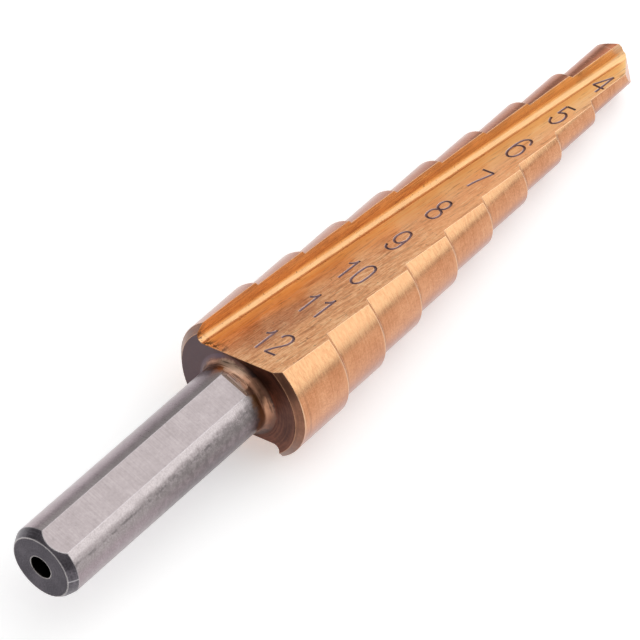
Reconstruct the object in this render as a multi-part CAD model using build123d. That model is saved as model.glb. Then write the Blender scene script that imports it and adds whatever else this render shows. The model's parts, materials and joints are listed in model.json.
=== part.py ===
from build123d import *
import math
import os
from itertools import combinations

os.makedirs("parts", exist_ok=True)

# A step drill: one ground steel bar with a round, three-flatted shank and a stepped
# cutting head that two straight, L-shaped flutes divide.
#
# The drill is shaped along its own axis first: X runs from the shank's end face to the
# point, and Z is the way the upper flute's floor faces. It is then laid down on a bench.

# ---------------------------------------------------------------- driving sizes, mm
# Shank
shank_diameter = 6.0            # the standard size for a three-flat shank
shank_length = 22.1             # from the end face to the head's rear face
shank_end_taper_length = 0.75   # the lead-in ground round the shank's end
shank_end_taper_depth = 0.42
shank_end_crown_radius = 3.0    # the lead-in is slightly crowned
centre_hole_diameter = 1.9      # lathe centre left in the end face
centre_hole_depth = 2.2

# Flats for the drill chuck's three jaws
flat_count = 3
flat_depth = 0.265              # below the round of the shank
flat_end = 20.8                 # from the end face
flat_heading = -28.0            # degrees about the axis, from the way the upper flute faces
run_out_depth = 0.13            # the shallower band where the grinding wheel left each flat
run_out_length = 0.55

# Neck
neck_fillet = 0.7               # between the shank and the head's rear face

# Cutting head
tip_diameter = 4.0              # the smallest hole that it drills
diameter_rise = 1.0             # from one step to the next
step_count = 9
step_length = 5.0
rear_step_length = 5.8          # the widest step, from the rear face to its front rim
tip_step_length = 5.5           # the narrowest step, from the rim behind it to the lip corners
step_chamfer = 0.5              # the 45 degree cutting bevel in front of each rim
rear_chamfer = 0.55
land_relief = 0.08              # how far each half's lands are off the drill's axis
bevel_relief = 0.36             # and how far its cutting bevels are
edge_heading = 15.0             # degrees about the axis to the cutting edge, on the average
parting_heading = -35.0         # the two halves part in this plane, inside both flutes

# Flutes, at the rear face and at the point; a flute's heel lies on its far side
floor_height_rear = 3.68        # from the axis to the flute's floor
floor_height_tip = 0.12
wall_offset_rear = 3.17         # from the axis, sideways, to the foot of the flute's wall
wall_offset_tip = -0.26         # past the axis, so that the two lips overlap
wall_hollow_radius = 4.6        # the wall leans over the floor in this arc
wall_hollow_span = 50.0         # degrees of that arc
flute_root_fillet = 0.45

# Point
point_angle = 129.0             # between the two lips, near the axis
corner_angle = 98.0             # and out at their corners, which are ground sharper
corner_start = 1.3              # from the axis to where that sharper grinding begins
lip_relief = 27.0               # degrees that each flank falls behind its lip
heel_bevel_slope = 1.35         # how fast the heel of each half is ground away, along per across
heel_bevel_tilt = 0.34          # and how far it leans forward again, along per upward
heel_bevel_rise = 0.5           # where that bevel would meet the axis, ahead of the point
heel_bevel_overlap = 0.4        # how far the bevel's wheel passes the axis

# ---------------------------------------------------------------- sizes that follow
shank_radius = shank_diameter / 2
head_diameter = tip_diameter + diameter_rise * (step_count - 1)
head_radius = head_diameter / 2
tip_radius = tip_diameter / 2
first_rim = shank_length + rear_step_length
last_rim = first_rim + step_length * (step_count - 2)
lip_corner = last_rim + tip_step_length
lip_drop = 1 / math.tan(math.radians(point_angle / 2))
corner_drop = 1 / math.tan(math.radians(corner_angle / 2))
drill_length = lip_corner + corner_start * lip_drop + (tip_radius - corner_start) * corner_drop
flute_run = drill_length - shank_length
clear = 2 * head_diameter       # reach of the cutting shapes beyond the steel


def shank() -> Part:
    """The round shank with its lead-in, and the fillet that joins it to the head."""
    root = shank_radius + 2 * neck_fillet
    outline = [
        (0, 0),
        (0, shank_radius - shank_end_taper_depth),
        (shank_end_taper_length, shank_radius),
        (shank_length, shank_radius),
        (shank_length, root),
        (shank_length + neck_fillet, root),
        (shank_length + neck_fillet, 0),
    ]
    lead_in = RadiusArc(outline[1], outline[2], shank_end_crown_radius)
    profile = make_face(lead_in + Polyline(*outline[2:], *outline[:2]))
    neck = profile.vertices().sort_by_distance((shank_length, shank_radius, 0))[0]
    return revolve(fillet(neck, neck_fillet), Axis.X)


def along_x(start: float, offset: float, shape: Part) -> Part:
    """A turned shape set along X from start, its axis moved towards the cutting edge."""
    turn = math.radians(edge_heading)
    return Pos(start, offset * math.sin(turn), offset * math.cos(turn)) * Rot(Y=90) * shape


def relieved_step(rim: float, radius: float, tail: float) -> Part:
    """One step of one half of the head, which falls away behind its cutting edge.

    The land and the bevel are round about axes that lie a little towards the edge. So the
    step has its full size at the edge only, and the rim slants back towards the heel.
    """
    on_base = (Align.CENTER, Align.CENTER, Align.MIN)
    tip = rim + 2 * step_chamfer
    base = radius - bevel_relief
    land = Cylinder(radius - land_relief, tip - tail, align=on_base)
    bevel = Cone(base + rim - tail, base - 2 * step_chamfer, tip - tail, align=on_base)
    return along_x(tail, land_relief, land) & along_x(tail, bevel_relief, bevel)


def half_head() -> Part:
    """All the steps of the half whose land lies behind the upper flute's wall."""
    on_base = (Align.CENTER, Align.CENTER, Align.MIN)
    half = relieved_step(first_rim, head_radius, shank_length)
    for step in range(1, step_count - 1):
        rim = first_rim + step * step_length
        radius = head_radius - step * diameter_rise / 2
        half += relieved_step(rim, radius, rim - step_length - 2 * step_chamfer)
    tail = last_rim - 2 * step_chamfer
    tip = Cylinder(tip_radius - land_relief, drill_length - tail, align=on_base)
    half += along_x(tail, land_relief, tip)
    side = Box(3 * drill_length, clear, clear, align=(Align.CENTER, Align.MIN, Align.CENTER))
    return half & Rot(X=-parting_heading) * side


def turned_head() -> Part:
    """The head before its flutes are cut: two relieved halves and the bevel behind them."""
    half = half_head()
    behind = Cone(
        head_radius - rear_chamfer,
        head_radius - rear_chamfer + clear,
        clear,
        align=(Align.CENTER, Align.CENTER, Align.MIN),
    )
    ahead = Cylinder(clear, drill_length, align=(Align.CENTER, Align.CENTER, Align.MIN))
    room = along_x(shank_length, 0, behind) + along_x(shank_length + head_radius, 0, ahead)
    return (half + Rot(X=180) * half) & room


def flat_cutter(heading: float) -> Part:
    """One chuck flat with its shallower run-out, for a flat that faces the given way."""
    ground = Pos(flat_end / 2 - clear / 2, 0, shank_radius - flat_depth) * Box(
        flat_end + clear, shank_diameter, clear, align=(Align.CENTER, Align.CENTER, Align.MIN)
    )
    run_out = Pos(flat_end, 0, shank_radius - run_out_depth) * Box(
        run_out_length, shank_diameter, shank_radius, align=(Align.MIN, Align.CENTER, Align.MIN)
    )
    return Rot(X=-heading) * (ground + run_out)


def flute_cutter() -> Part:
    """The straight L-shaped channel: a wide floor and a short, hollow wall beside it.

    The channel keeps one section and runs down towards the point, as a shaped wheel
    leaves it, so the floor and the wall both close on the axis.
    """
    arc_height = wall_hollow_radius * math.sin(math.radians(wall_hollow_span))
    arc_reach = wall_hollow_radius * (1 - math.cos(math.radians(wall_hollow_span)))
    foot = (0, 0)
    wall = CenterArc((-wall_hollow_radius, 0), wall_hollow_radius, 0, wall_hollow_span)
    rest = Polyline((-arc_reach, arc_height), (-clear, clear), (-clear, 0), foot)
    section = make_face(wall + rest)
    section = fillet(section.vertices().sort_by_distance((0, 0, 0))[0], flute_root_fillet)

    run = Vector(flute_run, wall_offset_tip - wall_offset_rear, floor_height_tip - floor_height_rear)
    start = Vector(shank_length, wall_offset_rear, floor_height_rear) - run * 0.05
    station = Plane(origin=start, x_dir=(0, 1, 0), z_dir=(1, 0, 0))
    return extrude(station * section, amount=run.length * 1.2, dir=run.normalized())


def space_ahead(x_at_axis: float, y_slope: float, z_slope: float) -> Part:
    """The room in front of the plane x = x_at_axis + y_slope * y + z_slope * z."""
    facing = Vector(1, -y_slope, -z_slope).normalized()
    plane = Plane(origin=(x_at_axis, 0, 0), z_dir=facing)
    return plane * Box(clear, clear, clear, align=(Align.CENTER, Align.CENTER, Align.MIN))


def point_cutter() -> Part:
    """What is ground off one half of the front end: its flank, its corner and its heel.

    The half is the one above the axis, whose lip runs along its wall.
    """
    relief = math.tan(math.radians(lip_relief))
    flank = space_ahead(drill_length, -relief, -lip_drop)
    corner_lead = corner_start * (corner_drop - lip_drop)
    corner = space_ahead(drill_length + corner_lead, -relief, -corner_drop)
    heel = space_ahead(drill_length + heel_bevel_rise, -heel_bevel_slope, heel_bevel_tilt)
    upper_half = Pos(drill_length, 0, -heel_bevel_overlap) * Box(
        clear, clear, clear, align=(Align.CENTER, Align.CENTER, Align.MIN)
    )
    return flank + corner + (heel & upper_half)


def shape_drill() -> Part:
    """The finished drill on its own axis."""
    drill = shank() + turned_head()
    for turn in range(flat_count):
        drill -= flat_cutter(flat_heading + turn * 360 / flat_count)
    drill -= Cylinder(
        centre_hole_diameter / 2,
        centre_hole_depth,
        rotation=(0, 90, 0),
        align=(Align.CENTER, Align.CENTER, Align.MIN),
    )
    for turn in (0, 180):
        drill -= Rot(X=turn) * flute_cutter()
    for turn in (0, 180):
        drill -= Rot(X=turn) * point_cutter()
    return drill


def resting_plane(drill: Part) -> Plane:
    """The bench under the drill, which touches three of its corners below the middle of mass.

    Its normal points up, into the drill. The corners are those of the rims where the lower
    flute cuts them, since the flute's two edges carry the drill.
    """
    middle = drill.center(CenterOf.MASS)
    low = [Vector(v.X, v.Y, v.Z) for v in drill.vertices() if v.X > shank_length and v.Z < 0]
    for a, b, c in combinations(low, 3):
        normal = (b - a).cross(c - a)
        if normal.length < step_chamfer:
            continue
        up = normal.normalized() if normal.Z > 0 else -normal.normalized()
        if up.Z < 0.5 or any((p - a).dot(up) < -1e-6 for p in low):
            continue
        foot = middle - up * (middle - a).dot(up)
        sides = [(q - p).cross(foot - p).dot(up) for p, q in ((a, b), (b, c), (c, a))]
        if all(s > 0 for s in sides) or all(s < 0 for s in sides):
            return Plane(origin=foot, x_dir=Vector(1, 0, 0) - up * up.X, z_dir=up)
    raise ValueError("the drill has no corners to lie on")


def lay_down(drill: Part) -> Part:
    """The drill at rest on Z = 0, its point towards +X and its box centred on the origin."""
    resting = resting_plane(drill).to_local_coords(drill)
    box = resting.bounding_box()
    return Pos(-box.center().X, -box.center().Y, -box.min.Z) * resting


step_drill = lay_down(shape_drill())
step_drill.label = "step_drill"
export_step(step_drill, "parts/step_drill.step")
print("length", round(drill_length, 2), "volume", round(step_drill.volume, 1))
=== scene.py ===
"""A step drill for sheet metal: its finishes, its step numbers and the studio round it.

Inside the classes lengths are millimetres on the drill's own frame, where X runs from the
shank's end face to the point and Z is the way the numbered flute's floor faces. Headings
are degrees about X, 0 along Z and 90 along Y. The bench frame, which Blender and the
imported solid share, is in metres with Z up.
"""

import json
import logging
import math
from collections.abc import Iterator, Sequence
from dataclasses import dataclass, field
from enum import Enum

import bmesh
import bpy
from mathutils import Euler, Matrix, Vector
from mathutils.kdtree import KDTree

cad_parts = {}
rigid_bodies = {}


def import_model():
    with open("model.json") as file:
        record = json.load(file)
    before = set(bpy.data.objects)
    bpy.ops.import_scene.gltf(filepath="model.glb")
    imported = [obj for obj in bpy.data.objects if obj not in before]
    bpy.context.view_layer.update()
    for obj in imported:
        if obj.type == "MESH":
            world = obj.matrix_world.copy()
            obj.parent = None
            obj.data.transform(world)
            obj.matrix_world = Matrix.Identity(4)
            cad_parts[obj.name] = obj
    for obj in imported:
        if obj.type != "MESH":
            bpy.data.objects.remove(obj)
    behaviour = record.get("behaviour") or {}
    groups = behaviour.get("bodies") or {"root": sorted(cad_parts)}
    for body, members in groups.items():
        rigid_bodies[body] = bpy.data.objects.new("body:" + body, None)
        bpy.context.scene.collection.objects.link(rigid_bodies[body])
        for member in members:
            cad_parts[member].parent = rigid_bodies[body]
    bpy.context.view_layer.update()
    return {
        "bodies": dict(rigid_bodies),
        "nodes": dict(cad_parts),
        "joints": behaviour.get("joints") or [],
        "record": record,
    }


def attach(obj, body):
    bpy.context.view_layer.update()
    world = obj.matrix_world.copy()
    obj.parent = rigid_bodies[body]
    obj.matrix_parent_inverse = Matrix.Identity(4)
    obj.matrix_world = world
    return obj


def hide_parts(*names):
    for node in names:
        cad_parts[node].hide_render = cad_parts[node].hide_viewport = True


LOG = logging.getLogger("step_drill")
MM = 0.001
CLOSE = 0.01  # mm within which two places on the drill are the same
GRIT_LEAST, GRIT_MOST = 0.3, 0.7  # what smooth random values run between

Inputs = dict[str | int, object]
Point3 = tuple[float, float, float]
Socket = bpy.types.NodeSocket
Stroke = tuple[tuple[int, int], ...]
Tree = bpy.types.NodeTree


def linear(colour: str) -> tuple[float, float, float, float]:
    """Turns an sRGB hex colour into the linear RGBA that a shader takes.

    Args:
        colour: Six hex digits after a hash.

    Returns:
        Linear red, green, blue and an alpha of 1.
    """
    parts = [int(colour[i : i + 2], 16) / 255 for i in (1, 3, 5)]
    red, green, blue = (
        p / 12.92 if p <= 0.04045 else ((p + 0.055) / 1.055) ** 2.4 for p in parts
    )
    return (red, green, blue, 1.0)


def add_node(
    tree: Tree, kind: str, inputs: Inputs | None = None, **settings: object
) -> bpy.types.Node:
    """Adds a node, sets it up and links what feeds it.

    Args:
        tree: The node tree that it joins.
        kind: The node's type name, less the ShaderNode that starts it.
        inputs: Socket name or index to a value, or to the output socket linked into it.
        settings: Attributes of the node itself.

    Returns:
        The new node.
    """
    node = tree.nodes.new("ShaderNode" + kind)
    for key, value in settings.items():
        setattr(node, key, value)
    for key, value in (inputs or {}).items():
        if isinstance(value, bpy.types.NodeSocket):
            tree.links.new(value, node.inputs[key])
        else:
            node.inputs[key].default_value = value
    return node


def empty_tree(owner: bpy.types.Material | bpy.types.World) -> Tree:
    """Readies a new material or world for its own nodes.

    Args:
        owner: The material or world.

    Returns:
        Its empty node tree.
    """
    owner.use_nodes = True
    owner.node_tree.nodes.clear()
    return owner.node_tree


def set_down(name: str, data: bpy.types.ID) -> bpy.types.Object:
    """Puts a new object into the scene.

    Args:
        name: The object's name.
        data: Its mesh or camera.

    Returns:
        The object.
    """
    made = bpy.data.objects.new(name, data)
    bpy.context.scene.collection.objects.link(made)
    return made


# ---- the drill's own frame
@dataclass(frozen=True)
class DrillFrame:
    """Where the drill's own axes lie on the bench."""

    origin: Point3 = (-34.6938, 0.0, 6.2541)  # centre of the shank's end
    drop: float = 3.2941  # degrees by which the axis falls towards the point
    roll: float = -18.8277  # degrees about the axis, from the numbered flute facing up

    def euler(self) -> Euler:
        """The turn from the drill's axes to the bench's."""
        return Euler((math.radians(self.roll), math.radians(self.drop), 0.0))

    def to_bench(self) -> Matrix:
        """The matrix from millimetres on the drill to metres on the bench."""
        place = Matrix.Translation(Vector(self.origin) * MM)
        return place @ self.euler().to_matrix().to_4x4() @ Matrix.Scale(MM, 4)


@dataclass(frozen=True)
class DrillSizes:
    """The sizes of the solid that the finishes and the numbers are laid out by."""

    shank_radius: float = 3.0
    lead_in: float = 0.75
    hole_radius: float = 0.95
    hole_depth: float = 2.2
    hole_floor_radius: float = 0.855  # inside its scaled corner
    flat_end: float = 20.8
    run_out_end: float = 21.35
    flat_reach: float = 2.735  # from the axis to a flat
    run_out_reach: float = 2.87  # and to the run-out ahead of it
    flat_ease: float = 0.16  # how far the step at each one's end slants back
    flat_headings: tuple[float, ...] = (-28.0, 92.0, 212.0)
    rear_face: float = 22.1
    rear_chamfer_end: float = 22.65
    parting_heading: float = -35.0  # the drill's halves part in this plane
    edge_heading: float = 15.0  # to the cutting edge of the upper half's lands
    first_rim: float = 27.9
    rim_slant: float = 0.28  # how far a rim runs back in a quarter turn from its edge
    step_length: float = 5.0
    length: float = 69.63
    point_length: float = 2.6
    least_land_radius: float = 1.6  # no land is nearer to the axis
    floor_rear: float = 3.68
    floor_slope: float = -0.0749
    wall_rear: float = 3.17
    wall_slope: float = -0.07213

    def floor_height(self, x: float) -> float:
        """How high the flute's floor stands over the axis at x."""
        return self.floor_rear + self.floor_slope * (x - self.rear_face)

    def floor_normal(self) -> Vector:
        """The numbered flute floor's outward direction."""
        return Vector((-self.floor_slope, 0.0, 1.0)).normalized()

    def toward_flats(self, way: Vector) -> list[float]:
        """How far a place or a direction reaches towards each of the shank's flats."""
        turns = [math.radians(heading) for heading in self.flat_headings]
        return [way.y * math.sin(turn) + way.z * math.cos(turn) for turn in turns]


class Zone(Enum):
    """The surfaces of the drill, each ground or turned in its own way."""

    END_FACE = 0
    LEAD_IN = 1
    CENTRE_HOLE = 2
    SHANK_ROUND = 3
    SHANK_FLAT = 4
    NECK = 5
    REAR_FACE = 6
    REAR_CHAMFER = 7
    FLUTE_FLOOR = 8
    FLUTE_WALL = 9
    LAND = 10
    STEP_BEVEL = 11
    POINT_FLANK = 12
    NUMBER_GROOVE = 13


@dataclass(frozen=True)
class ZoneMap:
    """Says which zone a face of the drill belongs to, by its place and its direction.

    The limits are cosines between the face's direction and the one that it is held against.
    """

    sizes: DrillSizes = field(default_factory=DrillSizes)
    same: float = 0.9995  # the two are the same
    square: float = 0.95  # the face lies across the drill
    slanted: float = 0.2  # it slants towards the shank, as the flats' end steps do
    bevelled: float = 0.3  # it is a bevel
    round: float = 0.9  # it is on the drill's round, against the way out from the axis
    chamfered: float = 0.5  # and so for the rear chamfer
    level: float = 0.1  # and it doesn't lean along the drill

    def zone(self, middle: Vector, normal: Vector) -> Zone:
        """Finds the zone of one face.

        Args:
            middle: The face's middle on the drill's frame.
            normal: Its outward direction there.

        Returns:
            The zone that the face is part of.
        """
        s = self.sizes
        if middle.x < s.rear_face - CLOSE:
            return self._shank_zone(middle, normal)
        radius = math.hypot(middle.y, middle.z)
        outward = (normal.y * middle.y + normal.z * middle.z) / radius
        if normal.x < -self.square:
            return Zone.REAR_FACE
        at_rear = middle.x < s.rear_chamfer_end and normal.x < -self.bevelled
        if at_rear and outward > self.chamfered:
            return Zone.REAR_CHAMFER
        parting = math.radians(s.parting_heading)
        upper = middle.y * math.sin(parting) + middle.z * math.cos(parting) > 0
        side = 1.0 if upper else -1.0
        turned = Vector((normal.x, normal.y * side, normal.z * side))
        if turned.dot(s.floor_normal()) > self.same:
            return Zone.FLUTE_FLOOR
        level = abs(normal.x) < self.level and radius > s.least_land_radius
        if level and outward > self.round:
            return Zone.LAND
        if normal.x > self.bevelled:
            at_point = middle.x >= s.length - s.point_length
            return Zone.POINT_FLANK if at_point else Zone.STEP_BEVEL
        return Zone.FLUTE_WALL

    def _shank_zone(self, middle: Vector, normal: Vector) -> Zone:
        """Finds the zone of a face behind the head.

        Args:
            middle: The face's middle on the drill's frame.
            normal: Its outward direction there.

        Returns:
            The zone that the face is part of.
        """
        s = self.sizes
        radius = math.hypot(middle.y, middle.z)
        if middle.x < s.hole_depth + CLOSE and normal.x < -self.square:
            return Zone.CENTRE_HOLE if radius < s.hole_floor_radius else Zone.END_FACE
        if radius < s.hole_radius + CLOSE:
            return Zone.CENTRE_HOLE
        for reach, facing in zip(s.toward_flats(middle), s.toward_flats(normal)):
            if facing > self.same and reach < s.flat_reach + CLOSE:
                return Zone.SHANK_FLAT
            low = middle.x > s.flat_end - s.flat_ease and reach < s.run_out_reach + CLOSE
            if low and normal.x < -self.slanted:
                return Zone.NECK
        if middle.x > s.flat_end + CLOSE:
            return Zone.NECK
        return Zone.LEAD_IN if middle.x < s.lead_in else Zone.SHANK_ROUND


# ---- finishes
class Grain(Enum):
    """The way that a surface's tool marks run."""

    ALONG_FLUTE = "along the flute"
    ROUND_AXIS = "round the drill"
    RINGS = "in rings on a face"


@dataclass
class Site:
    """The point being shaded, in the terms that the finishes are laid out by.

    Lean and height are those of the nearer flute, so both halves of the drill match.
    """

    tree: Tree
    point: Socket  # on the drill's frame, mm
    x: Socket  # from the shank's end, mm
    y: Socket
    z: Socket
    radius: Socket  # from the axis, mm
    heading: Socket
    lean: Socket  # sideways on the nearer flute, measured along its wall's run, mm
    height: Socket  # over the nearer flute's floor, mm
    colour: Socket | None = None  # of the surface so far
    gloss: Socket | None = None  # its roughness so far

    @classmethod
    def on_drill(cls, tree: Tree, frame: DrillFrame) -> "Site":
        """Works out where on the drill the shaded point is.

        Args:
            tree: The material's nodes.
            frame: Where the drill lies.

        Returns:
            The point in the finishes' terms.
        """
        sizes = DrillSizes()
        place = add_node(tree, "TexCoord")
        point = add_node(
            tree,
            "Mapping",
            {"Vector": place.outputs["Object"], "Location": Vector(frame.origin) * MM,
             "Rotation": frame.euler(), "Scale": (MM, MM, MM)},
            vector_type="TEXTURE",
        ).outputs[0]
        known: dict[object, Socket] = dict(
            zip("xyz", add_node(tree, "SeparateXYZ", {0: point}).outputs)
        )
        # Each row names a measure, how it is worked out and from what.
        rows = (
            ("z_squared", "MULTIPLY", "z", "z"),
            ("squared", "MULTIPLY_ADD", "y", "y", "z_squared"),
            ("radius", "SQRT", "squared"),
            ("turn", "ARCTAN2", "y", "z"),
            ("heading", "DEGREES", "turn"),
            ("side", "SIGN", "z"),
            ("across", "MULTIPLY", "y", "side"),
            ("lean", "MULTIPLY_ADD", "x", -sizes.wall_slope, "across"),
            ("rise", "ABSOLUTE", "z"),
            ("fall", "MULTIPLY_ADD", "x", -sizes.floor_slope, "rise"),
            ("height", "SUBTRACT", "fall", sizes.floor_height(0.0)),
        )
        for name, operation, *parts in rows:
            inputs = {i: known.get(part, part) for i, part in enumerate(parts)}
            known[name] = add_node(tree, "Math", inputs, operation=operation).outputs[0]
        names = ("x", "y", "z", "radius", "heading", "lean", "height")
        return cls(tree, point, *(known[name] for name in names))

    def add(self, kind: str, inputs: Sequence[object], **settings: object) -> Socket:
        """Adds a node and gives what comes out of it.

        Args:
            kind: The node's type name, less the ShaderNode that starts it.
            inputs: What its first sockets take, in order.
            settings: Attributes of the node itself.

        Returns:
            Its first output.
        """
        return add_node(self.tree, kind, dict(enumerate(inputs)), **settings).outputs[0]

    def grit(self, per_mm: float | Point3, detail: float = 3.0, roughness: float = 0.6,
             ends: Sequence[Socket] = ()) -> Socket:
        """Smooth random values, even over the drill or drawn out into streaks.

        Args:
            per_mm: How many there are in a millimetre, or in one of each of the ends.
            detail: How many finer layers are added.
            roughness: How strong those are.
            ends: For streaks, the three measures that they vary over.

        Returns:
            The values, about GRIT_LEAST to GRIT_MOST.
        """
        inputs = {"Vector": self.point, "Scale": per_mm, "Detail": detail,
                  "Roughness": roughness}
        if ends:
            joined = self.add("CombineXYZ", ends)
            inputs["Vector"] = self.add("VectorMath", (joined, per_mm), operation="MULTIPLY")
            inputs["Scale"] = 1.0
        return add_node(self.tree, "TexNoise", inputs).outputs["Fac"]

    def sway(self, value: object, grit: Socket, amount: float) -> Socket:
        """Moves a value to and fro by grit.

        Args:
            value: What is moved.
            grit: The grit that moves it.
            amount: How far 1 of grit moves it.

        Returns:
            The moved value.
        """
        swing = self.add("Math", (grit, 0.5), operation="SUBTRACT")
        return self.add("Math", (swing, amount, value), operation="MULTIPLY_ADD")

    def toward(self, heading: float) -> Socket:
        """How far the point lies from the axis towards a heading.

        Args:
            heading: The heading in degrees.

        Returns:
            The distance in millimetres.
        """
        turn = math.radians(heading)
        up = self.add("Math", (self.z, math.cos(turn)), operation="MULTIPLY")
        return self.add("Math", (self.y, math.sin(turn), up), operation="MULTIPLY_ADD")

    def fade(self, value: Socket, start: float, end: float, low: float = 0.0,
             high: float = 1.0) -> Socket:
        """Goes smoothly from low to high while a value goes from start to end.

        Args:
            value: What it depends on.
            start: Where it leaves low.
            end: Where it reaches high.
            low: What it gives before start.
            high: What it gives past end.

        Returns:
            The result.
        """
        return self.add(
            "MapRange", (value, start, end, low, high), interpolation_type="SMOOTHSTEP"
        )

    def near(self, value: Socket, middle: float, inner: float, outer: float) -> Socket:
        """Is 1 where a value is near its middle and fades out on both sides.

        Args:
            value: What it depends on.
            middle: Where the band's middle is.
            inner: How far from it the band is full.
            outer: How far from it the band ends.

        Returns:
            The band's share.
        """
        away = self.add("Math", (value, middle), operation="SUBTRACT")
        return self.fade(self.add("Math", (away,), operation="ABSOLUTE"), outer, inner)

    def both(self, *shares: Socket | float) -> Socket | float:
        """The product of some shares, where all of them hold.

        Args:
            shares: The shares.

        Returns:
            Their product.
        """
        whole = shares[0]
        for share in shares[1:]:
            whole = self.add("Math", (whole, share), operation="MULTIPLY")
        return whole

    def stain(self, over: str | Socket, *shares: Socket | float, how: str = "MIX") -> None:
        """Lays a colour over what the surface has so far.

        Args:
            over: The colour laid on, as sRGB hex or worked out by nodes.
            shares: How much of it shows, which is their product.
            how: The way that the two are blended.
        """
        added = linear(over) if isinstance(over, str) else over
        inputs = {0: self.both(*shares), 6: self.colour, 7: added}
        made = add_node(self.tree, "Mix", inputs, data_type="RGBA", blend_type=how)
        self.colour = made.outputs[2]

    def ramp(self, value: Socket, stops: Sequence[tuple[float, str]]) -> Socket:
        """Turns a value into a colour that runs through some stops.

        Args:
            value: The value.
            stops: Where each colour lies, from 0 to 1, and its sRGB hex, in order.

        Returns:
            The colour.
        """
        made = add_node(self.tree, "ValToRGB", {0: value})
        run = made.color_ramp.elements
        run[0].position, run[0].color = stops[0][0], linear(stops[0][1])
        run[1].position, run[1].color = stops[-1][0], linear(stops[-1][1])
        for place, colour in stops[1:-1]:
            run.new(place).color = linear(colour)
        return made.outputs[0]


@dataclass(frozen=True)
class GroundMetal:
    """Ground or turned metal, with or without its coat.

    The streaks are the wheel's grit marks. Real ones are a few hundredths of a millimetre
    apart, too fine to show, so they are drawn two to four times as coarse. The mottling
    is the grain of the coat or the scale, and the patches are its thick and thin parts.
    """

    name: str
    dark: str
    usual: str
    light: str
    edge: str  # where handling has worn the edges bright, and a painted highlight along them
    roughness: float = 0.34
    gloss_swing: float = 0.05  # what the tool marks add to it and take off
    grain: Grain = Grain.ROUND_AXIS
    streaks_per_mm: float = 7.0
    streak_stretch: float = 30.0  # how many times as long as wide
    streak_share: float = 0.5
    mottle_per_mm: float = 4.0
    mottle_share: float = 0.3
    patch_per_mm: float = 0.45
    patch_share: float = 0.5
    relief: float = 0.25
    relief_depth: float = 0.01
    edge_width: float = 0.05
    edge_share: float = 0.7
    edge_from: float = 0.998  # cosine of an edge's rounding at which the wear starts
    edge_full: float = 0.96
    speck: str = "#5A3A28"
    speck_per_mm: float = 3.4
    speck_share: float = 0.0
    oil: float = 0.55  # share of the surface under a trace of oil
    oil_roughness: float = 0.3
    oil_ior: float = 1.47

    def grain_streaks(self, site: Site) -> Socket:
        """Draws the tool marks, which run as the surface's grain does.

        Args:
            site: The shaded point.

        Returns:
            The marks, about 0.3 to 0.7.
        """
        fine = self.streaks_per_mm
        coarse = fine / self.streak_stretch
        ends, per_mm = (site.x, site.y, site.z), (fine, coarse, coarse)
        if self.grain is Grain.ALONG_FLUTE:
            ends, per_mm = (site.x, site.lean, site.z), (coarse, fine, fine)
        elif self.grain is Grain.RINGS:
            ends = (site.radius, site.y, site.z)
        return site.grit(per_mm, 4.0, 0.65, ends)

    def tint(self, site: Site) -> None:
        """Lays stains over the ground colour. Plain ground metal has none."""

    def ground_colour(self, site: Site, streak: Socket) -> None:
        """Gives the surface its streaks, mottling, broad patches and specks.

        Args:
            site: The shaded point.
            streak: The tool marks.
        """
        tone: object = 0.5
        for layer, share in (
            (streak, self.streak_share),
            (site.grit(self.mottle_per_mm, 4.0, 0.7), self.mottle_share),
            (site.grit(self.patch_per_mm, 2.0), self.patch_share),
        ):
            tone = site.sway(tone, layer, share)
        stops = ((0.38, self.dark), (0.5, self.usual), (0.62, self.light))
        site.colour = site.ramp(tone, stops)
        if self.speck_share:
            dots = site.grit(self.speck_per_mm, 2.0, 0.7)
            site.stain(self.speck, site.fade(dots, 0.66, 0.71, 0.0, self.speck_share))

    def material(self, frame: DrillFrame) -> bpy.types.Material:
        """Builds the finish.

        Args:
            frame: Where the drill lies.

        Returns:
            The Blender material.
        """
        made = bpy.data.materials.new(self.name)
        tree = empty_tree(made)
        site = Site.on_drill(tree, frame)
        streak = self.grain_streaks(site)
        least, most = self.roughness - self.gloss_swing, self.roughness + self.gloss_swing
        site.gloss = site.fade(streak, GRIT_LEAST, GRIT_MOST, least, most)
        self.ground_colour(site, streak)
        self.tint(site)

        rounded = add_node(tree, "Bevel", {"Radius": self.edge_width * MM}, samples=4)
        surface = add_node(tree, "NewGeometry")
        turn = add_node(
            tree,
            "VectorMath",
            {0: rounded.outputs[0], 1: surface.outputs["Normal"]},
            operation="DOT_PRODUCT",
        )
        # The edges are worn bright, and the same colour paints the highlight that they catch.
        worn = site.fade(turn.outputs["Value"], self.edge_from, self.edge_full)
        site.stain(self.edge, worn, self.edge_share)
        bump = add_node(
            tree,
            "Bump",
            {"Strength": self.relief, "Distance": self.relief_depth * MM, "Height": streak,
             "Normal": rounded.outputs[0]},
        )
        shader = add_node(
            tree,
            "BsdfPrincipled",
            {"Base Color": site.colour, "Metallic": 1.0, "Roughness": site.gloss,
             "Coat Weight": self.oil, "Coat Roughness": self.oil_roughness,
             "Coat IOR": self.oil_ior, "Normal": bump.outputs[0],
             "Coat Normal": bump.outputs[0]},
        )
        add_node(tree, "OutputMaterial", {0: shader.outputs[0]})
        return made


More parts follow.
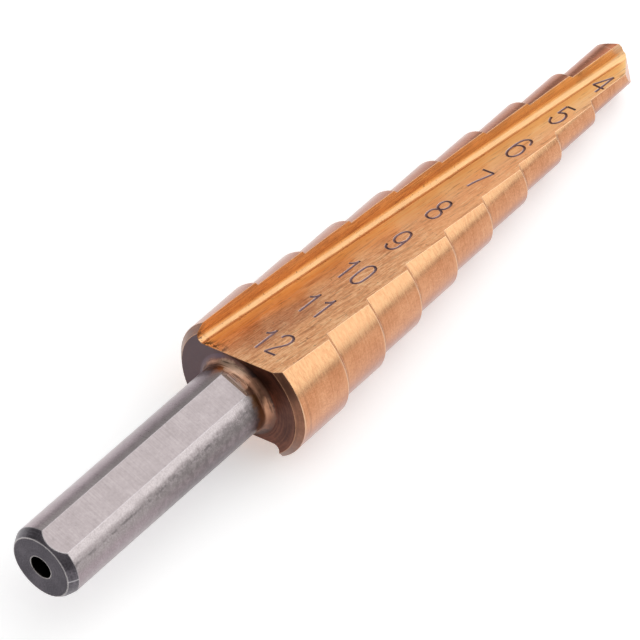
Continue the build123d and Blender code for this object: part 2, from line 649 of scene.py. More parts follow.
@dataclass(frozen=True)
class ShankSteel(GroundMetal):
    """Ground steel stained by handling, with painted shade below and towards the head."""

    # The grime colour lays the stains and also painted shade; the deepest colour lays painted
    # shade only.
    grime_and_shade: str = "#5F5857"
    scratch: str = "#4C4748"
    deepest_shade: str = "#4E4149"
    bare_and_highlight: str = "#D6CECE"
    violet: str = "#FFF5FC"
    straw: str = "#966740"

    def tint(self, site: Site) -> None:
        """Adds a long scratch with stains along it, painted shade below and near the head, and a
        straw tint.

        Args:
            site: The shaded point.
        """
        x, heading = site.x, site.heading
        toward_head = site.fade(x, 8.0, 15.0)
        patch = site.grit(1.1, 3.0, 0.65)
        # The stains and painted shade follow a wavering line, shifting round towards the head.
        wander = site.sway(heading, patch, 12.0)
        wander = site.add("Math", (wander, site.fade(x, 9.0, 15.0, 0.0, -3.0)))
        dirt = site.fade(site.grit(2.4, 4.0, 0.7), 0.42, 0.58, 0.25, 1.0)
        broad = site.near(wander, -75.0, 5.0, 14.0)
        site.stain(self.grime_and_shade, broad, dirt, 0.5, site.fade(x, 4.0, 12.0, 0.1, 1.0))
        broken = site.fade(site.grit(0.9, 3.0, 0.7), 0.42, 0.6, 0.05, 0.5)
        site.stain(self.scratch, site.near(wander, -74.0, 0.4, 3.0), broken)
        # Painted shade below the shank, darker towards the head.
        below = site.both(site.fade(wander, -72.0, -88.0), site.fade(x, 5.0, 15.0, 0.35, 1.0))
        blotch = site.fade(site.grit(1.7, 4.0, 0.7), 0.36, 0.62, 0.65, 1.0)
        site.stain(self.grime_and_shade, below, 0.88, blotch)
        # Painted shade, deepest below the shank and on the upper round near the head.
        site.stain(self.deepest_shade, site.fade(heading, -92.0, -114.0), toward_head, 0.55)
        site.stain(self.deepest_shade, site.near(heading, 28.0, 10.0, 20.0), toward_head, 0.3)
        # Beside the flat, where the jaws rub, bare sandy steel and a painted highlight.
        sand = site.fade(site.grit(9.0, 4.0, 0.7), 0.35, 0.65, 0.15, 0.5)
        site.stain(self.bare_and_highlight, site.near(wander, -57.5, 4.0, 11.0), sand)
        # Painted shade along the top of the round, towards the head.
        shadow = site.near(heading, -2.0, 4.0, 16.0)
        site.stain(self.grime_and_shade, shadow, site.fade(x, 2.0, 14.0), 0.4)
        for start, end in ((0.0, 12.0), (-80.0, -96.0)):
            site.stain(self.violet, site.fade(heading, start, end), how="MULTIPLY")
        site.stain(self.straw, site.fade(site.sway(x, patch, 1.2), 20.6, 21.1))


@dataclass(frozen=True)
class EndScale(GroundMetal):
    """The scale of the hardening furnace on the lead-in, with one nick across it."""

    nick: str = "#C9C6C8"
    nick_heading: float = -97.0

    def tint(self, site: Site) -> None:
        """Brightens the nick."""
        site.stain(self.nick, site.near(site.heading, self.nick_heading, 0.7, 1.8), 0.5)


@dataclass(frozen=True)
class NeckTint(GroundMetal):
    """The neck, where the coat thins out over turned steel in bands of heat colours."""

    bands: tuple[tuple[float, str], ...] = (  # mm from the flat's end, over the fillet
        (0.0, "#7D706C"), (0.3, "#9A715C"), (0.6, "#B9876D"), (1.0, "#BE8D72"),
        (1.3, "#8A604E"), (1.6, "#553C3B"), (2.0, "#2E2225"),
    )
    band_share: float = 0.85
    # The soot colour lays soot and painted shade; the bare and copper colours paint highlights.
    soot_and_shade: str = "#241A1A"
    bare_and_highlight: str = "#F0D2B8"
    violet: str = "#5C5263"
    copper_highlight: str = "#D09A78"
    worn: str = "#8A5F4C"
    thread: str = "#3B2821"
    dull: str = "#6E4A37"
    straw: str = "#7A4E2A"

    def tint(self, site: Site) -> None:
        """Lays bands round the fillet, painted highlights, violet, and soot with painted shade.

        Args:
            site: The shaded point.
        """
        rise = site.add("Math", (site.radius, DrillSizes.shank_radius), operation="SUBTRACT")
        run = site.add("Math", (site.x, DrillSizes.flat_end), operation="SUBTRACT")
        patch = site.grit(1.3, 3.0)
        along = site.sway(site.add("Math", (run, rise)), patch, 1.0)
        whole = self.bands[-1][0]
        share = site.add("Math", (along, whole), operation="DIVIDE")
        stops = [(place / whole, band) for place, band in self.bands]
        site.stain(site.ramp(share, stops), self.band_share)
        heading = site.sway(site.heading, patch, 30.0)
        # Each patch lies round the neck by its heading and over the fillet by its run.
        # A painted highlight on top of the fillet.
        top = site.near(heading, -6.0, 12.0, 34.0)
        site.stain(self.bare_and_highlight, top, site.near(along, 0.95, 0.2, 0.7), 0.45)
        # A painted highlight low on the fillet.
        low = site.near(heading, -88.0, 8.0, 22.0)
        site.stain(self.copper_highlight, low, site.near(along, 1.3, 0.25, 0.6), 0.4)
        rubbed = site.near(heading, -110.0, 6.0, 24.0)
        site.stain(self.worn, rubbed, site.fade(along, 0.7, 1.1), 0.45)
        site.stain(self.violet, site.fade(heading, 0.0, 20.0), site.fade(along, 1.2, 1.8), 0.5)
        # Soot, with painted shade where the fillet meets the rear face.
        burnt = site.near(heading, -52.0, 16.0, 34.0)
        site.stain(self.soot_and_shade, burnt, site.fade(along, 1.15, 1.6), 0.85)
        turning = site.grit((9.0, 0.5, 0.5), ends=(site.x, site.y, site.z))
        site.stain(self.thread, site.fade(turning, 0.44, 0.36, 0.0, 0.6))
        site.stain(self.dull, site.near(heading, -58.0, 10.0, 20.0), 0.5)
        under = site.near(heading, -112.0, 14.0, 34.0)
        site.stain(self.straw, under, site.fade(along, 1.0, 0.5), 0.7)


@dataclass(frozen=True)
class RearFaceCoat(GroundMetal):
    """The rear face: violet over the numbered half, brown round the rest, all painted dark as
    shade.
    """

    cool: str = "#54454B"
    soot_and_shade: str = "#1D1415"

    def tint(self, site: Site) -> None:
        """Fades the brown into violet across the face, with soot and painted shade beside the
        neck.

        Args:
            site: The shaded point.
        """
        across = site.sway(site.y, site.grit(0.8, 2.0), 3.0)
        site.stain(self.cool, site.fade(across, -1.5, 2.0, 0.0, 0.85))
        patch = site.grit(1.5, 4.0, 0.7)
        # Soot and painted shade beside the neck.
        burnt = site.near(site.sway(site.heading, patch, 60.0), -44.0, 14.0, 28.0)
        beside_neck = site.fade(site.sway(site.radius, patch, 1.6), 4.7, 3.9)
        site.stain(self.soot_and_shade, burnt, beside_neck, 0.62)


@dataclass(frozen=True)
class Engraving(GroundMetal):
    """A burnt groove, with a painted highlight along its rim."""

    rim_highlight: str = "#B7AFBF"

    def tint(self, site: Site) -> None:
        """Paints a highlight on the rim of the groove, at the floor's height."""
        # A painted highlight along the groove's rim.
        site.stain(self.rim_highlight, site.fade(site.height, -0.035, -0.005, 0.0, 0.9))


@dataclass(frozen=True)
class FluteCoat(GroundMetal):
    """The coat in a flute: paler and yellower towards the point, with painted highlights by the
    wall.
    """

    shaded: str = "#DDD0CC"
    gold: str = "#F2C078"
    pale: str = "#FFE8B5"
    pale_from: float = 20.0  # along the drill, where the paler edge starts
    pale_to: float = 44.0
    pale_least: float = 0.3
    pale_share: float = 1.0
    far: str = "#FFB375"
    far_share: float = 0.45
    # The foot and root colours paint highlights beside the wall.
    foot: str = "#FFDD9C"  # beside the wall, a painted highlight along the root fillet
    foot_share: float = 0.38
    foot_roughness: float = 0.14  # added there, since the wheel's corner wears first
    root: str = "#F6CD98"
    stripe: str = "#9A6238"
    hair: str = "#7C4A2A"
    dots: str = "#6A4630"
    burr: str = "#33252A"

    def tint(self, site: Site) -> None:
        """Adds painted shade and highlights, the fade along the drill, gold stripes, dark
        hairlines, burr stains.

        Args:
            site: The shaded point.
        """
        x, sizes = site.x, DrillSizes()
        foot = sizes.wall_rear - sizes.wall_slope * sizes.rear_face
        reach = site.add("Math", (foot, site.lean), operation="SUBTRACT")  # from the wall
        beside_wall = site.fade(reach, 3.2, 0.7)
        shade = (site.near(x, 27.0, 1.5, 6.0), site.near(reach, 3.2, 0.8, 1.8))
        site.stain(self.shaded, *shade, how="MULTIPLY")
        site.stain(self.far, site.fade(x, 36.0, 46.0, 0.0, self.far_share))
        paler = site.fade(x, self.pale_from, self.pale_to, self.pale_least, self.pale_share)
        site.stain(self.pale, beside_wall, paler)
        # The wheel's coarse grits leave stripes and its fine ones hairlines.
        ends = (x, site.lean, site.z)
        stripe = site.grit((0.09, 3.6, 3.6), 2.0, 0.5, ends)
        site.stain(self.gold, beside_wall, site.fade(stripe, 0.46, 0.6, 0.0, 0.6))
        site.stain(self.stripe, site.fade(stripe, 0.42, 0.3, 0.0, 0.35))
        hair = site.grit((0.2, 7.5, 7.5), ends=ends)
        site.stain(self.hair, site.fade(hair, 0.42, 0.34, 0.0, 0.45))
        site.stain(self.pale, site.fade(hair, 0.6, 0.68, 0.0, 0.4))
        # A painted highlight on the floor beside the wall, stronger towards the point.
        palest = site.fade(x, 38.0, 58.0, self.foot_share, 2.0 * self.foot_share)
        site.stain(self.foot, site.fade(reach, 1.6, 0.6), palest)
        # The root fillet gets a painted highlight, with a row of dark dots along it.
        corner = site.add("Math", (reach, site.height), operation="MAXIMUM")
        site.stain(self.root, site.fade(corner, 0.75, 0.3, 0.0, 0.5))
        dots = site.fade(site.grit(6.0, 2.0, 0.6), 0.62, 0.68)
        rarer = site.fade(x, 48.0, 58.0, 1.0, 0.2)
        site.stain(self.dots, site.near(corner, 0.4, 0.14, 0.24), dots, rarer, 0.7)
        ragged = site.fade(site.grit(2.6, 4.0, 0.75), 0.46, 0.52)
        at_rear = site.fade(x, 23.1, 22.3)
        site.stain(self.burr, site.near(reach, 1.2, 0.8, 1.7), at_rear, ragged, 0.9)
        rougher = site.fade(reach, 2.4, 0.8, 0.0, self.foot_roughness)
        rougher = site.both(rougher, site.fade(x, 34.0, 46.0))
        site.gloss = site.add("Math", (site.gloss, rougher))


@dataclass(frozen=True)
class LandCoat(GroundMetal):
    """The coat on the lands and bevels, with a painted highlight along each step's rim."""

    # The rim and heel colours paint highlights; the thick and shade colours paint shade.
    rim_highlight: str = "#FFE9C9"
    rim_from: float = 4.86  # mm from the rim before, where a rim's bright line starts
    rim_full: float = 4.95
    shade: str = "#8A5636"
    shade_at: float = 0.55  # mm ahead of a rim, where its bevel ends
    heel_highlight: str = "#DAAC7E"
    painted_edge_shade: str = "#DAC2C6"  # painted shade, deeper towards the edge
    line_share: float = 0.3

    def tint(self, site: Site) -> None:
        """Adds painted highlights on the rims and heel, and painted shade ahead of each rim and by
        the edge.

        Args:
            site: The shaded point.
        """
        # Each half's rims slant back behind its cutting edge, since the bevel falls away
        # faster than the land. The cosine is 1 at the edge and falls towards the heel.
        s = DrillSizes()
        side = site.add("Math", (site.toward(s.parting_heading + 90.0),), operation="SIGN")
        ahead = site.both(side, site.toward(s.edge_heading))
        cosine = site.add("Math", (ahead, site.radius), operation="DIVIDE")
        slant = site.add("Math", (cosine, -s.rim_slant, site.x), operation="MULTIPLY_ADD")
        past = site.add("Math", (slant, s.first_rim - s.rim_slant), operation="SUBTRACT")
        past = site.add("Math", (past, s.step_length), operation="FLOORED_MODULO")
        # A painted highlight on each rim and painted shade just ahead of it.
        site.stain(self.rim_highlight, site.fade(past, self.rim_from, self.rim_full), self.line_share)
        site.stain(self.shade, site.near(past, self.shade_at, 0.05, 0.16), self.line_share)
        # Painted shade, deeper towards the cutting edge.
        site.stain(self.painted_edge_shade, site.fade(cosine, 0.4, 0.72), how="MULTIPLY")
        # A painted highlight on the heel, behind the edge.
        grind = site.grit((6.0, 1.6, 1.6), 4.0, 0.7, (site.x, site.y, site.z))
        behind = site.fade(cosine, 0.06, -0.1)
        site.stain(self.heel_highlight, behind, site.fade(grind, 0.35, 0.65, 0.45, 0.95))


COATED = {"dark": "#B6774D", "usual": "#C7895F", "light": "#D59B71", "edge": "#F6D4AE"}
STEEL = {"dark": "#968D8D", "usual": "#A3999A", "light": "#B1A8A8", "edge": "#E2DEE2"}

FINISHES: dict[Zone, GroundMetal] = {
    # Hard, near-black scale left by the furnace, and painted shade: matt, mottled, with a bright
    # worn rim.
    Zone.END_FACE: GroundMetal(
        "scaled high-speed steel", "#413C43", "#4D484F", "#5D575E", "#D2CCC9",
        roughness=0.5, grain=Grain.RINGS, mottle_per_mm=9.0, mottle_share=1.0, relief=0.1,
        oil=0.1, edge_width=0.16, edge_share=0.95,
    ),
    # The same scale and painted shade, rubbed a little smoother and lighter by the chuck.
    Zone.LEAD_IN: EndScale(
        "scaled high-speed steel lead-in", "#4A454B", "#59535A", "#6B656C", "#D4CFCF",
        roughness=0.42, mottle_per_mm=7.0, mottle_share=0.8, relief=0.1, edge_width=0.15,
        edge_share=0.9,
    ),
    # Drilled, and painted near-black as the shade inside the hole.
    Zone.CENTRE_HOLE: GroundMetal(
        "drilled steel", "#171415", "#1E1A1B", "#282324", "#B3ABA5", roughness=0.5,
        edge_width=0.12,
    ),
    # Ground round: an even, satin grey that stains show on.
    Zone.SHANK_ROUND: ShankSteel(
        "centreless-ground steel", roughness=0.32, patch_per_mm=0.7, streak_share=0.15,
        mottle_share=0.8, mottle_per_mm=8.0, patch_share=0.25, relief=0.0, oil=0.4,
        edge_width=0.1, edge_share=0.45, **STEEL,
    ),
    # Ground flat across the shank: fine cross lines and a pale, level sheen.
    Zone.SHANK_FLAT: GroundMetal(
        "surface-ground steel", roughness=0.36, streaks_per_mm=8.0, streak_share=0.45,
        mottle_share=0.35, patch_share=0.2, patch_per_mm=0.8, relief=0.1, speck="#7F797B",
        speck_share=0.35, oil=0.2, edge_width=0.1, **STEEL,
    ),
    # Turned, then tinted by heat: copper bands with turning lines, soot, painted shade and painted
    # highlights.
    Zone.NECK: NeckTint(
        "heat-tinted neck steel", "#7A5038", "#A9765A", "#CFA184", "#E3BE9F",
        roughness=0.36, speck="#2E1F18", speck_share=0.7, oil=0.15,
    ),
    # Turned in rings and coated: dull violet-brown, painted dark as shade.
    Zone.REAR_FACE: RearFaceCoat(
        "turned face with coat and painted shade", "#4E271B", "#64392A", "#7A4938", "#C08A62",
        roughness=0.42, streaks_per_mm=6.0, streak_share=0.8, oil=0.2, grain=Grain.RINGS,
        edge_width=0.08,
    ),
    # The same between the rear face and the land, a little brighter and glossier.
    Zone.REAR_CHAMFER: GroundMetal(
        "turned chamfer with shadowed coat", "#684230", "#7C503A", "#91634A", "#EDB88C",
        roughness=0.38, oil=0.5, edge_width=0.09,
    ),
    # Ground lengthwise and coated thickly: copper-gold with long streaks, like wood grain.
    Zone.FLUTE_FLOOR: FluteCoat(
        "titanium nitride on the flute floor", roughness=0.34, grain=Grain.ALONG_FLUTE,
        streaks_per_mm=9.0, streak_stretch=16.0, streak_share=0.85, mottle_share=0.4,
        patch_share=0.15, speck_share=0.6, dark="#CC8754", usual="#E8A670",
        light="#F6C391", edge="#FADAB8",
    ),
    # The same, but deeper and more orange, since it mirrors the floor.
    Zone.FLUTE_WALL: FluteCoat(
        "titanium nitride on the flute wall", roughness=0.3, grain=Grain.ALONG_FLUTE,
        streaks_per_mm=7.0, streak_stretch=20.0, streak_share=1.2, mottle_share=0.5,
        speck_share=0.6, dark="#9C5D2E", usual="#B5703B", light="#CA8750", edge="#FADAB8",
        oil=0.35, gold="#BE824C", pale="#F3CB8E", pale_from=46.0, pale_to=67.0,
        pale_least=0.0, pale_share=0.3, far_share=0.0, foot_share=0.0, foot_roughness=0.0,
    ),
    # Ground round and coated: smooth, rosy copper with a soft highlight.
    Zone.LAND: LandCoat(
        "titanium nitride on the lands", roughness=0.23, streaks_per_mm=6.0,
        streak_share=0.35, mottle_share=0.45, mottle_per_mm=6.0, patch_share=0.3,
        relief=0.0, oil=0.4, edge_width=0.08, **COATED,
    ),
    # The same on the bevels, a little rougher.
    Zone.STEP_BEVEL: LandCoat(
        "titanium nitride on the cutting bevels", roughness=0.3, streak_share=0.3,
        relief=0.05, oil=0.4, edge_width=0.08, **COATED,
    ),
    # Ground last, by a coarser wheel: paler and pinker, with coarse lines.
    Zone.POINT_FLANK: GroundMetal(
        "titanium nitride on the point", "#C08D78", "#D6A48C", "#E4B79E", "#F6D6C2",
        roughness=0.36, streaks_per_mm=4.0,
    ),
    # Burnt in by the engraver: a dark violet groove, with a painted highlight on its rim.
    Zone.NUMBER_GROOVE: Engraving(
        "burnt engraving", "#634A50", "#785A5D", "#8A6A67", "#6B5A58",
        roughness=0.5, edge_width=0.01, edge_share=0.0,
    ),
}


# ---- step numbers
# Each stroke is a run of points, across and up from the digit's middle in hundredths of a
# millimetre. A smooth line goes through them.
STROKES: dict[str, tuple[Stroke, ...]] = {
    "0": (
        ((0, 127), (-40, 95), (-50, 30), (-50, -30), (-40, -95), (0, -127), (40, -95), (50, -30),
         (50, 30), (40, 95), (0, 127)),
    ),
    "1": (
        ((25, 127), (25, -127)),
        ((-27, 60), (0, 75), (18, 100), (25, 124)),
    ),
    "2": (
        ((-51, 75), (-38, 110), (0, 127), (34, 112), (49, 78), (44, 30), (20, -12), (-18, -62),
         (-50, -122)),
        ((-50, -122), (52, -122)),
    ),
    "4": (
        ((20, 127), (-58, -38)),
        ((-58, -38), (52, -46)),
        ((20, 127), (22, -115)),
    ),
    "5": (
        ((-33, 120), (52, 116)),
        ((-33, 120), (-38, 10)),
        ((-38, 10), (5, 34), (42, 12), (56, -40), (42, -100), (6, -130), (-28, -108), (-48, -60)),
    ),
    "6": (
        ((50, 70), (36, 113), (4, 130), (-32, 104), (-49, 50), (-53, -10), (-50, -75), (-26, -120),
         (4, -132), (40, -110), (58, -45), (42, 16), (4, 34), (-34, 18), (-53, -20)),
    ),
    "7": (
        ((-55, 117), (56, 117)),
        ((56, 117), (32, 45), (2, -45), (-14, -125)),
    ),
    "8": (
        ((2, 6), (-30, 28), (-40, 72), (-26, 112), (4, 126), (34, 112), (46, 72), (34, 28), (2, 6),
         (-36, -16), (-48, -60), (-34, -108), (4, -124), (42, -108), (56, -60), (42, -16), (2, 6)),
    ),
    "9": (
        ((50, 30), (30, -12), (0, -26), (-34, -6), (-50, 50), (-34, 114), (0, 134), (34, 114),
         (52, 50), (53, -10), (50, -70), (30, -108), (0, -120), (-32, -108), (-50, -70)),
    ),
}


@dataclass(frozen=True)
class StepNumber:
    """One step's size, cut in the flute's floor beside it."""

    digits: tuple[tuple[str, float], ...]  # each digit and its middle, across
    along: float  # the number's middle from the shank's end
    across: float  # and sideways from the axis


@dataclass
class NumberCutter:
    """The engraver's cutter and the numbers that it cuts."""

    sizes: DrillSizes
    cutter_radius: float = 0.115
    lift: float = 0.035  # the cutter's middle over the floor
    numbers: tuple[StepNumber, ...] = (
        StepNumber((("1", -0.79), ("2", 0.81)), 25.1, -1.45),
        StepNumber((("1", -0.93), ("1", 0.52)), 30.36, -1.38),
        StepNumber((("1", -1.28), ("0", 0.34)), 35.28, -1.43),
        StepNumber((("9", 0.02),), 40.13, -1.156),
        StepNumber((("8", 0.03),), 44.99, -1.135),
        StepNumber((("7", 0.0),), 49.88, -1.178),
        StepNumber((("6", 0.03),), 54.86, -1.156),
        StepNumber((("5", 0.05),), 60.2, -1.094),
        StepNumber((("4", -0.02),), 65.33, -1.225),
    )

    def stroke_points(self, number: StepNumber) -> Iterator[list[Vector]]:
        """The strokes of one number, on the drill's frame.

        Args:
            number: The number to lay out.

        Yields:
            The points of each stroke.
        """
        for digit, middle in number.digits:
            for stroke in STROKES[digit]:
                points = []
                for across, up in stroke:
                    x = number.along + up / 100
                    y = number.across - (middle + across / 100)
                    points.append(Vector((x, y, self.sizes.floor_height(x) + self.lift)))
                yield points

    def cut_shapes(self, to_bench: Matrix) -> bpy.types.Object:
        """Builds the round-nosed tubes that the cutter sweeps.

        Args:
            to_bench: The matrix from the drill's frame to the bench.

        Returns:
            One mesh object with all the tubes.
        """
        merged = bmesh.new()
        for number in self.numbers:
            for points in self.stroke_points(number):
                self._sweep(merged, points)
        mesh = bpy.data.meshes.new("number_cutter")
        merged.to_mesh(mesh)
        merged.free()
        mesh.transform(to_bench)
        return set_down("number_cutter", mesh)

    def _sweep(self, merged: bmesh.types.BMesh, points: Sequence[Vector], sides: int = 8) -> None:
        """Adds one closed tube along a smooth line.

        Args:
            merged: The mesh that takes the tube.
            points: What the line goes through.
            sides: How many sides the tube has.
        """
        line = smooth_line(points)
        up = self.sizes.floor_normal()
        closed = (line[0] - line[-1]).length < 1e-6
        if closed:
            line = line[:-1]
        rings = []
        count = len(line)
        turns = [2 * math.pi * (k + 0.5) / sides for k in range(sides)]
        for i, here in enumerate(line):
            before = line[i - 1] if closed or i else here
            after = line[(i + 1) % count] if closed or i < count - 1 else here
            side = (after - before).normalized().cross(up).normalized()
            reaches = [side * math.cos(turn) + up * math.sin(turn) for turn in turns]
            rings.append([merged.verts.new(here + way * self.cutter_radius) for way in reaches])
        pairs = list(zip(rings, rings[1:]))
        if closed:
            pairs.append((rings[-1], rings[0]))
        for first, second in pairs:
            for k in range(sides):
                n = (k + 1) % sides
                merged.faces.new((first[k], second[k], second[n], first[n]))
        if not closed:
            merged.faces.new(rings[0])
            merged.faces.new(reversed(rings[-1]))


def smooth_line(points: Sequence[Vector], spacing: float = 0.07) -> list[Vector]:
    """Runs a smooth line through some points.

    Args:
        points: What the line goes through, in order. A line that ends where it starts
            is smooth there too.
        spacing: The greatest distance between two points of the line.

    Returns:
        The line's points.
    """
    if len(points) == 2:
        return list(points)
    closed = points[0] == points[-1]
    line = [points[0]]
    last = len(points) - 1
    for i in range(last):
        a, b = points[i], points[i + 1]
        before = points[i - 1] if i else (points[-2] if closed else a)
        after = points[i + 2] if i + 2 <= last else (points[1] if closed else b)
        steps = max(1, math.ceil((b - a).length / spacing))
        for k in range(1, steps + 1):
            t = k / steps
            line.append(
                0.5
                * (
                    2 * a
                    + (b - before) * t
                    + (2 * before - 5 * a + 4 * b - after) * t**2
                    + (3 * a - before - 3 * b + after) * t**3
                )
            )
    return line


# ---- the drill
@dataclass
class StepDrill:
    """The drill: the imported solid's shape with its numbers cut and every zone finished."""

    node: str = "step_drill"
    frame: DrillFrame = field(default_factory=DrillFrame)
    sizes: DrillSizes = field(default_factory=DrillSizes)
    weld: float = 1e-4  # mm within which the solid's corners are one
    agree: float = 0.9  # least cosine between a face and an exact direction that is its own

    def build(self, solid: bpy.types.Object) -> bpy.types.Object:
        """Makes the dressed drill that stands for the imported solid.

        Args:
            solid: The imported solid's object.

        Returns:
            The drill.
        """
        mesh = self._welded(solid)
        drill = set_down("ground_drill", mesh)
        for zone in Zone:
            mesh.materials.append(FINISHES[zone].material(self.frame))
        self._sort_faces(mesh)
        self._cut_numbers(drill)
        self._smooth(drill.data, solid.data)
        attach(drill, "root")
        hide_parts(self.node)
        return drill

    def _welded(self, solid: bpy.types.Object) -> bpy.types.Mesh:
        """Copies the solid's mesh with its faces joined along their edges.

        Args:
            solid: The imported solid's object.

        Returns:
            The copy, closed.
        """
        shape = bmesh.new()
        shape.from_mesh(solid.data)
        bmesh.ops.remove_doubles(shape, verts=shape.verts, dist=self.weld * MM)
        self._ease_flats(shape)
        mesh = bpy.data.meshes.new("ground_drill")
        shape.to_mesh(mesh)
        shape.free()
        return mesh

    def _ease_flats(self, shape: bmesh.types.BMesh) -> None:
        """Slants the step at each flat's end, as the rounded edge of the wheel leaves it.

        Args:
            shape: The drill's mesh, in bench metres, which is changed.
        """
        s = self.sizes
        to_bench = self.frame.to_bench()
        to_drill = to_bench.inverted()
        steps = ((s.flat_end, s.flat_reach), (s.run_out_end, s.run_out_reach))
        for vert in shape.verts:
            place = to_drill @ vert.co
            for reach in s.toward_flats(place):
                if any(math.dist((place.x, reach), step) < CLOSE for step in steps):
                    vert.co = to_bench @ (place - Vector((s.flat_ease, 0.0, 0.0)))

    def _sort_faces(self, mesh: bpy.types.Mesh) -> None:
        """Gives each face its zone's material.

        Args:
            mesh: The drill's mesh, in bench metres.
        """
        to_drill = self.frame.to_bench().inverted()
        turn = to_drill.to_3x3()
        zones = ZoneMap(self.sizes)
        for face in mesh.polygons:
            normal = (turn @ face.normal).normalized()
            face.material_index = zones.zone(to_drill @ face.center, normal).value

    def _cut_numbers(self, drill: bpy.types.Object) -> None:
        """Engraves the step numbers.

        Args:
            drill: The drill, which is changed.
        """
        cutter = NumberCutter(self.sizes).cut_shapes(self.frame.to_bench())
        for zone in Zone:
            cutter.data.materials.append(drill.data.materials[zone.value])
        for face in cutter.data.polygons:
            face.material_index = Zone.NUMBER_GROOVE.value
        cut = drill.modifiers.new("numbers", "BOOLEAN")
        cut.operation = "DIFFERENCE"
        cut.solver = "EXACT"
        cut.use_self = True
        cut.object = cutter
        bpy.context.view_layer.update()
        graph = bpy.context.evaluated_depsgraph_get()
        result = bpy.data.meshes.new_from_object(drill.evaluated_get(graph))
        drill.modifiers.clear()
        result.name = "ground_drill"
        drill.data = result
        bpy.data.objects.remove(cutter)

    def _smooth(self, mesh: bpy.types.Mesh, exact: bpy.types.Mesh) -> None:
        """Shades the faces smooth, with the solid's exact directions where it has them.

        Args:
            mesh: The drill's mesh, which is changed.
            exact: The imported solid's mesh.
        """
        tree = KDTree(len(exact.loops))
        for i, loop in enumerate(exact.loops):
            tree.insert(exact.vertices[loop.vertex_index].co, i)
        tree.balance()
        normals = [corner.vector.copy() for corner in exact.corner_normals]
        wanted = []
        for face in mesh.polygons:
            face.use_smooth = True
            groove = face.material_index == Zone.NUMBER_GROOVE.value
            for index in face.loop_indices:
                place = mesh.vertices[mesh.loops[index].vertex_index].co
                near = [normals[i] for _, i, _ in tree.find_range(place, 2 * self.weld * MM)]
                best = max(near, key=face.normal.dot, default=face.normal)
                own = best if best.dot(face.normal) >= self.agree else face.normal
                wanted.append(Vector() if groove else own.copy())
        self._mark_sharp(mesh)
        mesh.normals_split_custom_set(wanted)

    def _mark_sharp(self, mesh: bpy.types.Mesh, limit: float = 20.0) -> None:
        """Keeps the true edges sharp.

        Args:
            mesh: The drill's mesh, which is changed.
            limit: Degrees between two faces from which their edge is a true one.
        """
        shape = bmesh.new()
        shape.from_mesh(mesh)
        for edge in shape.edges:
            edge.smooth = edge.is_manifold and edge.calc_face_angle() < math.radians(limit)
        shape.to_mesh(mesh)
        shape.free()


# ---- the studio
@dataclass(frozen=True)
class TentPanel:
    """One soft light or dark patch of the light tent, seen from the bench."""

    azimuth: float  # degrees from +X towards +Y
    elevation: float
    inner: float  # degrees from its middle that it fills evenly
    outer: float  # and at which it has faded out
    strength: float  # what it adds to the tent's radiance

    def way(self) -> Vector:
        """The direction of its middle."""
        a, e = math.radians(self.azimuth), math.radians(self.elevation)
        return Vector((math.cos(e) * math.cos(a), math.cos(e) * math.sin(a), math.sin(e)))


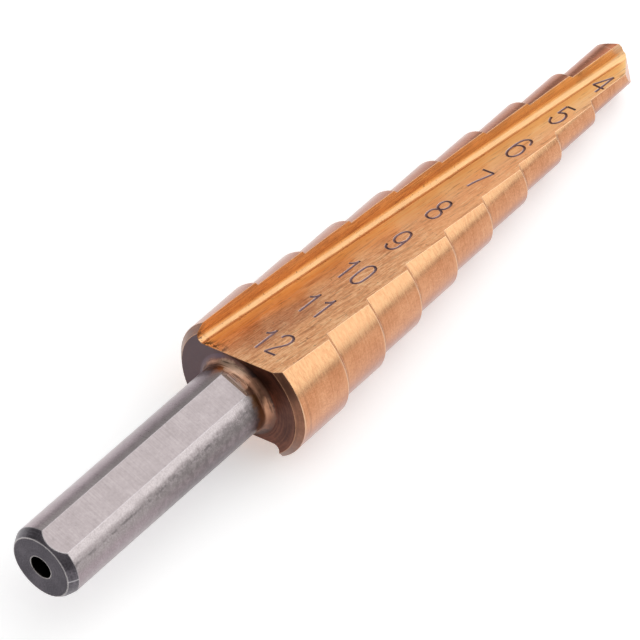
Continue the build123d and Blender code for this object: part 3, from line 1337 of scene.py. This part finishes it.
@dataclass
class Studio:
    """A light tent, a pale table and the camera."""

    base: float = 0.9  # the tent's even radiance
    least: float = 0.05  # and the least that dark patches leave of it
    panels: tuple[TentPanel, ...] = (
        TentPanel(-38.0, 38.0, 12.0, 55.0, 0.79),
        TentPanel(-38.0, 38.0, 4.0, 28.0, -0.2),
        TentPanel(-62.0, 22.0, 5.0, 25.0, 0.43),
        TentPanel(-57.0, -2.0, 3.0, 13.0, -0.7),
        TentPanel(30.0, 45.0, 5.0, 30.0, 0.53),
        TentPanel(46.0, 18.0, 8.0, 42.0, 0.3),
        TentPanel(55.0, 4.0, 3.0, 18.0, -0.35),
        TentPanel(0.0, 75.0, 15.0, 70.0, 0.4),
        TentPanel(100.0, 30.0, 15.0, 60.0, -0.64),
        TentPanel(170.0, 20.0, 15.0, 60.0, 0.23),
        TentPanel(-135.0, 25.0, 25.0, 75.0, -0.66),
        TentPanel(-100.0, -5.0, 5.0, 40.0, -0.34),
    )
    camera_place: Point3 = (-194.599, -128.507, 309.391)
    camera_turn: Point3 = (36.9114, -4.2771, -50.4657)
    lens: float = 287.647
    sensor: float = 36.0
    sight: float = 10.0  # metres that the camera sees
    table_size: float = 3.0
    table_colour: str = "#F4F4F4"
    table_fill: float = 0.4  # its own light, where the camera or a reflection sees it

    def light(self) -> None:
        """Hangs the tent round the bench as the world's own light."""
        world = bpy.data.worlds.new("light tent")
        bpy.context.scene.world = world
        tree = empty_tree(world)
        ray = add_node(tree, "TexCoord").outputs["Generated"]
        total: object = self.base
        for panel in self.panels:
            aim = add_node(tree, "VectorMath", {0: ray, 1: panel.way()}, operation="DOT_PRODUCT")
            outer, inner = (math.cos(math.radians(a)) for a in (panel.outer, panel.inner))
            ends = (aim.outputs["Value"], outer, inner, 0.0, panel.strength)
            shade = add_node(
                tree, "MapRange", dict(enumerate(ends)), interpolation_type="SMOOTHSTEP"
            )
            total = add_node(tree, "Math", {0: total, 1: shade.outputs[0]}).outputs[0]
        dimmest = add_node(tree, "Math", {0: total, 1: self.least}, operation="MAXIMUM")
        glow = add_node(tree, "Background", {"Strength": dimmest.outputs[0]})
        add_node(tree, "OutputWorld", {0: glow.outputs[0]})

    def table(self) -> bpy.types.Object:
        """Lays the pale table under the drill.

        Returns:
            The table's object.
        """
        half = self.table_size / 2
        corners = [(x * half, y * half, 0.0) for x, y in ((-1, -1), (1, -1), (1, 1), (-1, 1))]
        mesh = bpy.data.meshes.new("table")
        mesh.from_pydata(corners, [], [range(len(corners))])
        table = set_down("table", mesh)
        mesh.materials.append(self._table_finish())
        return table

    def _table_finish(self) -> bpy.types.Material:
        """Matt white acrylic, lit to paper white where the camera or a reflection sees it.

        Returns:
            The Blender material.
        """
        made = bpy.data.materials.new("matt white acrylic")
        tree = empty_tree(made)
        matt = add_node(tree, "BsdfDiffuse", {"Color": linear(self.table_colour)})
        path = add_node(tree, "LightPath").outputs
        seen: object = 0.0
        for ray in ("Is Camera Ray", "Is Glossy Ray", "Is Transmission Ray"):
            seen = add_node(tree, "Math", {0: seen, 1: path[ray]}, operation="MAXIMUM").outputs[0]
        fill = add_node(tree, "Math", {0: seen, 1: self.table_fill}, operation="MULTIPLY")
        glow = add_node(tree, "Emission", {"Strength": fill.outputs[0]})
        both = add_node(tree, "AddShader", {0: matt.outputs[0], 1: glow.outputs[0]})
        add_node(tree, "OutputMaterial", {0: both.outputs[0]})
        return made

    def camera(self) -> bpy.types.Object:
        """Sets the camera up behind the shank, looking down along the drill.

        Returns:
            The camera's object.
        """
        data = bpy.data.cameras.new("camera")
        data.lens = self.lens
        data.sensor_width = self.sensor
        data.clip_end = self.sight
        camera = set_down("camera", data)
        camera.location = Vector(self.camera_place) * MM
        camera.rotation_euler = Euler([math.radians(t) for t in self.camera_turn])
        bpy.context.scene.camera = camera
        return camera


def main() -> None:
    """Builds the drill and its studio, and reports each piece."""
    logging.basicConfig(level=logging.INFO, format="%(message)s")
    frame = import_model()
    bpy.context.scene.view_settings.view_transform = "Standard"
    drill = StepDrill().build(frame["nodes"]["step_drill"])
    LOG.info("%s: %d faces, %d finishes", drill.name, len(drill.data.polygons), len(Zone))
    studio = Studio()
    studio.light()
    for piece in (studio.table(), studio.camera()):
        LOG.info("%s: set up", piece.name)


if __name__ == "__main__":
    main()
